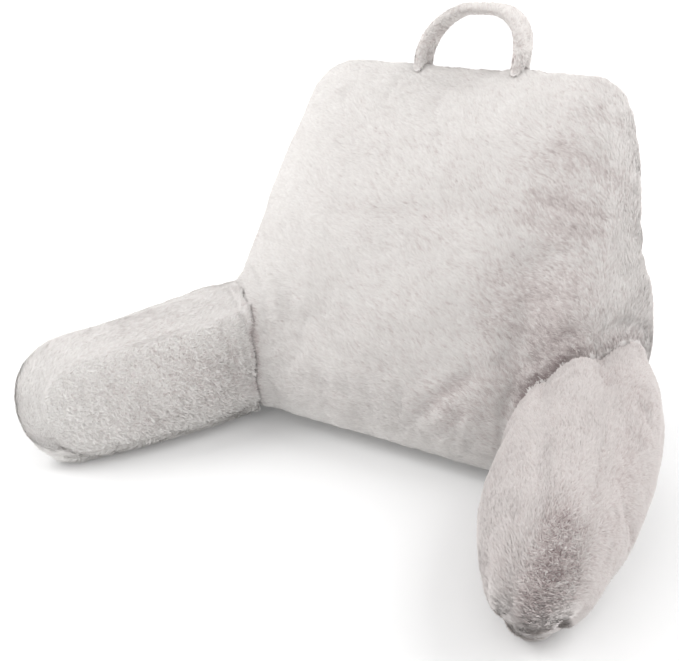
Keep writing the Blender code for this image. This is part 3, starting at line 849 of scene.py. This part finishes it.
def pile_tree():
    """The tree that stands tufts on a skin, combed along its field and a little ruffled."""
    tree = Tree("plush pile")
    for name, kind in (("Skin", "Geometry"), ("Tufts per area", "Float"), ("Tuft length", "Float"),
                       ("Tuft width", "Float"), ("Grain way", "Vector"), ("Grain along", "Float"),
                       ("Region", "Int"), ("Seed", "Int"), ("Tuft", "Object"),
                       ("Plush", "Material")):
        tree.ask(name, "NodeSocket" + kind)
    tree.group.interface.new_socket("Pile", in_out="OUTPUT", socket_type="NodeSocketGeometry")
    asked = tree.add("NodeGroupInput")

    here = tree.add("FunctionNodeCompare", {0: tree.named("region", "INT"), 1: (asked, "Region")},
                    data_type="INT", operation="EQUAL")
    spread = tree.add("GeometryNodeDistributePointsOnFaces", {
        "Mesh": (asked, "Skin"), "Selection": here, "Distance Min": NEAREST_TUFTS,
        "Density Max": (asked, "Tufts per area"), "Density Factor": tree.named("amount"),
        "Seed": (asked, "Seed")}, distribute_method="POISSON")

    # Neighbouring tufts cling together, because one coarse noise pulls and tints them alike.
    clump = tree.add("ShaderNodeTexNoise", {"Scale": CLUMPS_PER_METRE, "Detail": 1.0})
    grain = grain_noise(tree, asked)
    blade = tree.add("GeometryNodeObjectInfo", {"Object": (asked, "Tuft")})
    tufts = tree.add("GeometryNodeInstanceOnPoints", {
        "Points": (spread, "Points"), "Instance": (blade, "Geometry"),
        "Rotation": tuft_turn(tree, (spread, "Normal"), clump, grain),
        "Scale": tuft_size(tree, asked)})
    toned = tree.add("GeometryNodeStoreNamedAttribute", {
        "Geometry": tufts, "Name": "shade", "Value": tuft_shade(tree, clump, grain)},
        data_type="FLOAT", domain="INSTANCE")
    real = tree.add("GeometryNodeRealizeInstances", {"Geometry": toned})
    dressed = tree.add("GeometryNodeSetMaterial", {
        "Geometry": mapped(tree, above_floor(tree, real)), "Material": (asked, "Plush")})
    tree.feed(tree.add("NodeGroupOutput"), "Pile", dressed)
    return tree


def remove_fields(mesh, names):
    """Delete what a mesh holds under these names."""
    for name in names:
        if name in mesh.attributes:
            mesh.attributes.remove(mesh.attributes[name])


def grow_pile(name, skin, region, tree, blade, material, length, way, seed):
    """Stand the tufts of one region on a skin, as a plain mesh of its own."""
    along = GRAIN_ALONG if way else GRAIN_ACROSS
    thing = as_object(name, skin.data.copy())
    grow = thing.modifiers.new("pile", "NODES")
    grow.node_group = tree.group
    for key, value in (("Tufts per area", float(TUFTS_PER_AREA)), ("Tuft length", length),
                       ("Tuft width", TUFT_WIDTH), ("Region", region), ("Seed", seed),
                       ("Grain way", way or (0.0, 0.0, 0.0)), ("Grain along", along),
                       ("Tuft", blade), ("Plush", material)):
        grow[tree.keys[key]] = value
    evaluated_copy(thing)
    remove_fields(thing.data, SKIN_FIELDS + ("shade", "side", "along"))
    thing.data.name = name
    thing.data.shade_smooth()
    return thing


# ---------------------------------------------------------------- finishes

def wire(tree, source, output, target, socket):
    """Link two shader nodes."""
    tree.links.new(source.outputs[output], target.inputs[socket])


def ranged(tree, source, output, low, high):
    """A value from 0 to 1, mapped onto the range from low to high."""
    made = tree.nodes.new("ShaderNodeMapRange")
    made.inputs["To Min"].default_value = low
    made.inputs["To Max"].default_value = high
    wire(tree, source, output, made, "Value")
    return made


def multiplied(tree, colour):
    """A colour times what is then given to the second colour input, which is number 7."""
    made = tree.nodes.new("ShaderNodeMix")
    made.data_type = "RGBA"
    made.blend_type = "MULTIPLY"
    made.inputs["Factor"].default_value = 1.0
    tree.links.new(colour, made.inputs[6])
    return made


def pile_finish(name, tint):
    """Plush tufts: darker at the root as painted shade within the pile, light at the tip, each with its
    own tone.
    """
    material = bpy.data.materials.new(name)
    material.use_nodes = True
    tree = material.node_tree
    shader = tree.nodes["Principled BSDF"]
    shader.inputs["Metallic"].default_value = 0.0
    shader.inputs["Sheen Weight"].default_value = 0.30
    shader.inputs["Sheen Roughness"].default_value = 0.45
    shader.inputs["Sheen Tint"].default_value = (0.97, 0.95, 0.94, 1)
    shader.inputs["Specular IOR Level"].default_value = 0.25
    where = tree.nodes.new("ShaderNodeUVMap")
    where.uv_map = "OFBake"
    parts = tree.nodes.new("ShaderNodeSeparateXYZ")
    wire(tree, where, "UV", parts, "Vector")
    tones = tree.nodes.new("ShaderNodeValToRGB")
    ramp = tones.color_ramp
    ramp.elements.remove(ramp.elements[1])
    ramp.elements[0].color = (*PLUSH_TONES[0][1], 1)
    for place, colour in PLUSH_TONES[1:]:
        ramp.elements.new(place).color = (*colour, 1)
    wire(tree, parts, "X", tones, "Fac")
    shaded = multiplied(tree, tones.outputs["Color"])
    height = ranged(tree, parts, "Y", ROOT_SHADE, 1.0)
    tree.links.new(height.outputs["Result"], shaded.inputs[7])
    tinted = multiplied(tree, shaded.outputs[2])
    tinted.inputs[7].default_value = (*tint, 1)
    tree.links.new(tinted.outputs[2], shader.inputs["Base Color"])
    wire(tree, ranged(tree, parts, "Y", 0.95, 0.72), "Result", shader, "Roughness")
    return material


def skin_finish(name):
    """The knitted ground under the pile: matt, mottled and finely uneven, and a little darker than the
    pile as painted shade between the tufts.
    """
    material = bpy.data.materials.new(name)
    material.use_nodes = True
    tree = material.node_tree
    shader = tree.nodes["Principled BSDF"]
    shader.inputs["Metallic"].default_value = 0.0
    shader.inputs["Sheen Weight"].default_value = 0.2
    shader.inputs["Sheen Roughness"].default_value = 0.5
    where = tree.nodes.new("ShaderNodeTexCoord")
    mottle = tree.nodes.new("ShaderNodeTexNoise")
    mottle.inputs["Scale"].default_value = 90
    mottle.inputs["Detail"].default_value = 4
    wire(tree, where, "Object", mottle, "Vector")
    tones = tree.nodes.new("ShaderNodeValToRGB")
    ramp = tones.color_ramp
    ramp.elements[0].position = 0.3
    ramp.elements[0].color = (0.62, 0.585, 0.570, 1)
    ramp.elements[1].position = 0.7
    ramp.elements[1].color = (0.76, 0.73, 0.715, 1)
    wire(tree, mottle, "Fac", tones, "Fac")
    wire(tree, tones, "Color", shader, "Base Color")
    knit = tree.nodes.new("ShaderNodeTexNoise")
    knit.inputs["Scale"].default_value = 700
    knit.inputs["Detail"].default_value = 3
    wire(tree, where, "Object", knit, "Vector")
    bump = tree.nodes.new("ShaderNodeBump")
    bump.inputs["Strength"].default_value = 0.5
    bump.inputs["Distance"].default_value = 0.001
    wire(tree, knit, "Fac", bump, "Height")
    wire(tree, bump, "Normal", shader, "Normal")
    wire(tree, ranged(tree, knit, "Fac", 0.8, 1.0), "Result", shader, "Roughness")
    return material


# ---------------------------------------------------------------- dressing the cushions

def mark_regions(skin, node):
    """Number the faces of a skin whose piles are made apart: 0, or 1 at the rear, 2 at a side."""
    faces = skin.data.polygons
    normals = np.empty(len(faces) * 3, np.float32)
    faces.foreach_get("normal", normals)
    normals = normals.reshape(-1, 3)
    region = np.zeros(len(faces), np.int32)
    if node == "backrest":
        region[normals[:, 1] > 0.35] = 1
        region[(np.abs(normals[:, 0]) > 0.62) | (normals[:, 2] > 0.72)] = 2
    field = skin.data.attributes.new("region", "INT", "FACE")
    field.data.foreach_set("value", region)


def dress():
    """Give every cushion and the strap its skin and its pile."""
    solids = {node: merged_solid(node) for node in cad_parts}
    trees = {node: BVHTree.FromBMesh(mesh) for node, mesh in solids.items()}
    for mesh in solids.values():
        mesh.free()
    tree = pile_tree()
    blade = tuft_blade()
    ground = skin_finish("knitted ground")
    for number, (node, (slot, fill, tint, regions)) in enumerate(PIECES.items()):
        strap = node == "handle"
        neighbours = [solid for other, solid in trees.items() if other != node]
        pressing = [solid for other, solid in trees.items() if other not in (node, "handle")]
        skin, seams = make_skin(node, pressing, strap)
        mark_pile(skin, node, seams, neighbours, pressing, strap)
        mark_regions(skin, node)
        finish = pile_finish(node + " pile", tint)
        length = STRAP_TUFT_LENGTH if strap else TUFT_LENGTH
        for region, part in enumerate(regions):
            pile = grow_pile(node + "_" + part, skin, region, tree, blade, finish, length,
                             GRAIN_WAY.get(node), number * 10 + region + 1)
            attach(pile, "root")
        remove_fields(skin.data, SKIN_FIELDS)
        skin.data.materials.clear()
        skin.data.materials.append(ground)
        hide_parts(node)
        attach(skin, "root")
    bpy.data.objects.remove(blade)


# ---------------------------------------------------------------- floor, light and camera

def pale_floor():
    """A pale floor that glows more away from the pillow, so that it fades to white."""
    half = 30.0
    mesh = bpy.data.meshes.new("floor")
    mesh.from_pydata([(-half, -half, 0), (half, -half, 0), (half, half, 0), (-half, half, 0)],
                     [], [(0, 1, 2, 3)])
    floor = as_object("floor", mesh)
    pale = bpy.data.materials.new("pale floor")
    pale.use_nodes = True
    tree = pale.node_tree
    shader = tree.nodes["Principled BSDF"]
    shader.inputs["Base Color"].default_value = (0.82, 0.82, 0.82, 1)
    shader.inputs["Emission Color"].default_value = (1, 1, 1, 1)
    shader.inputs["Roughness"].default_value = 0.9
    shader.inputs["Specular IOR Level"].default_value = 0.0
    where = tree.nodes.new("ShaderNodeTexCoord")
    reach = tree.nodes.new("ShaderNodeVectorMath")
    reach.operation = "LENGTH"
    wire(tree, where, "Object", reach, 0)
    glow = ranged(tree, reach, "Value", 0.08, 0.55)
    glow.inputs["From Min"].default_value = 0.35
    glow.inputs["From Max"].default_value = 1.05
    wire(tree, glow, "Result", shader, "Emission Strength")
    mesh.materials.append(pale)


def soft_light():
    """An even white surrounding, and three wide lamps: left, front, and behind on the right."""
    world = bpy.data.worlds.new("studio")
    world.use_nodes = True
    world.node_tree.nodes["Background"].inputs["Color"].default_value = (1, 1, 1, 1)
    world.node_tree.nodes["Background"].inputs["Strength"].default_value = 0.72
    bpy.context.scene.world = world
    for name, (place, size, power) in LAMPS.items():
        light = bpy.data.lights.new(name, "AREA")
        light.size = size
        light.energy = power
        lamp = bpy.data.objects.new(name, light)
        lamp.location = place
        lamp.rotation_mode = "QUATERNION"
        lamp.rotation_quaternion = (Vector(LAMP_TARGET) - lamp.location).to_track_quat("-Z", "Y")
        bpy.context.scene.collection.objects.link(lamp)


def camera():
    """The camera, in front of the pillow, towards its +X side and a little above it."""
    lens = bpy.data.cameras.new("camera")
    lens.sensor_width = 36.0
    lens.lens = CAMERA_LENS
    lens.clip_start = 0.02
    lens.clip_end = 100.0
    eye = bpy.data.objects.new("camera", lens)
    level = math.cos(CAMERA_ELEVATION)
    back = Vector((math.sin(CAMERA_AZIMUTH) * level, -math.cos(CAMERA_AZIMUTH) * level,
                   math.sin(CAMERA_ELEVATION)))
    eye.location = CAMERA_PLACE
    eye.rotation_mode = "QUATERNION"
    eye.rotation_quaternion = (-back).to_track_quat("-Z", "Y")
    bpy.context.scene.collection.objects.link(eye)
    bpy.context.scene.camera = eye
    bpy.context.scene.view_settings.view_transform = "Standard"


dress()
pale_floor()
soft_light()
camera()
